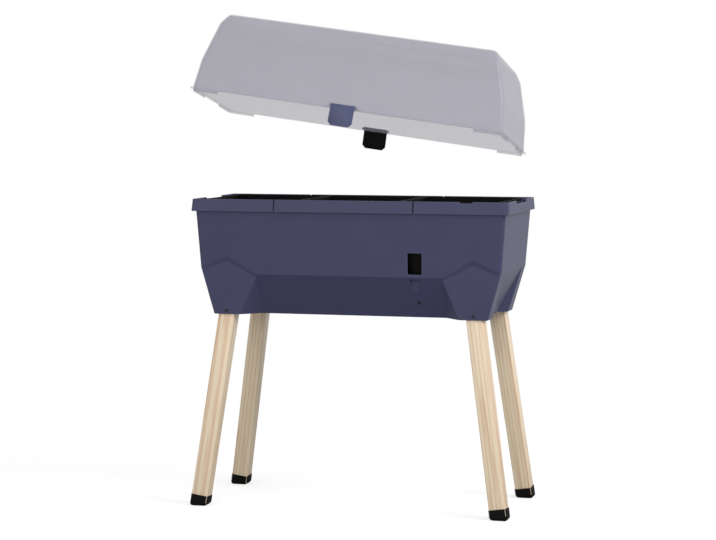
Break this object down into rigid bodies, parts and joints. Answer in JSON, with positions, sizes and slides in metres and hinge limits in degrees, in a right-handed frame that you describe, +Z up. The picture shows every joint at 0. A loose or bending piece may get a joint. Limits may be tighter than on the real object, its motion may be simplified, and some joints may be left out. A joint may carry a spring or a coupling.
{
  "type": "self-watering raised planter",
  "caption": "Raised planter box on splayed wooden legs, with soil trays over a water store, a filler window and a clear lid on clips, shown lifted.",
  "frame": {"origin": "on the floor under the middle of the tub, which is within a few millimetres of the bounding box's bottom centre", "axes": "+Z up, +X along the planter towards the end nearer the filler window, -Y towards the side with the window"},
  "size_m": [0.8052, 0.3711, 1.1976],
  "materials": {
    "slate_plastic": "moulded, satin",
    "black_plastic": "moulded, satin",
    "light_wood": "planed softwood",
    "foot_rubber": "moulded",
    "dark_steel": "blackened",
    "pin_steel": "drawn",
    "clip_plastic": "moulded, satin",
    "frosted_plastic": "frosted, see-through"
  },
  "bodies": {
    "planter": {"tub": "slate_plastic", "rim_left": "slate_plastic", "rim_right": "slate_plastic", "rim_front": "slate_plastic", "rim_rear": "slate_plastic", "soil_tray_left": "black_plastic", "soil_tray_middle": "black_plastic", "soil_tray_right": "black_plastic", "wick_cup_left_front": "black_plastic", "wick_cup_left_rear": "black_plastic", "wick_cup_middle_front": "black_plastic", "wick_cup_middle_rear": "black_plastic", "wick_cup_right_front": "black_plastic", "wick_cup_right_rear": "black_plastic", "filler_chute": "black_plastic", "leg_front_left": "light_wood", "leg_rear_left": "light_wood", "leg_front_right": "light_wood", "leg_rear_right": "light_wood", "foot_cap_front_left": "foot_rubber", "foot_cap_rear_left": "foot_rubber", "foot_cap_front_right": "foot_rubber", "foot_cap_rear_right": "foot_rubber", "leg_screw_front_left": "dark_steel", "leg_screw_rear_left": "dark_steel", "leg_screw_front_right": "dark_steel", "leg_screw_rear_right": "dark_steel"},
    "rear_clip": {"rear_clip": "black_plastic", "rear_clip_pin": "pin_steel"},
    "lid": {"lid": "frosted_plastic", "front_clip_pin": "pin_steel"},
    "front_clip": {"front_clip": "clip_plastic"},
    "overflow_plug": {"overflow_plug": "black_plastic"}
  },
  "joints": [
    {"name": "lid_lift_off", "type": "hinge", "parent": "planter", "child": "rear_clip", "pos_m": [1.1284, 0.1625, 0.974], "axis": [0, 0.9975, -0.0708], "range_deg": [-7.89, 6]},
    {"name": "lid_swing", "type": "hinge", "parent": "rear_clip", "child": "lid", "pos_m": [-0.0191, 0.17362, 0.91306], "axis": [-0.9905, 0.0097, 0.1369], "range_deg": [-10.82, 79]},
    {"name": "front_clip_release", "type": "hinge", "parent": "lid", "child": "front_clip", "pos_m": [-0.01385, -0.14563, 0.97371], "axis": [-0.9905, 0.0097, 0.1369], "range_deg": [0, 100]},
    {"name": "overflow_plug_pull", "type": "slide", "parent": "planter", "child": "overflow_plug", "axis": [0, -0.9047, -0.4261], "range_m": [0, 0.02]}
  ]
}
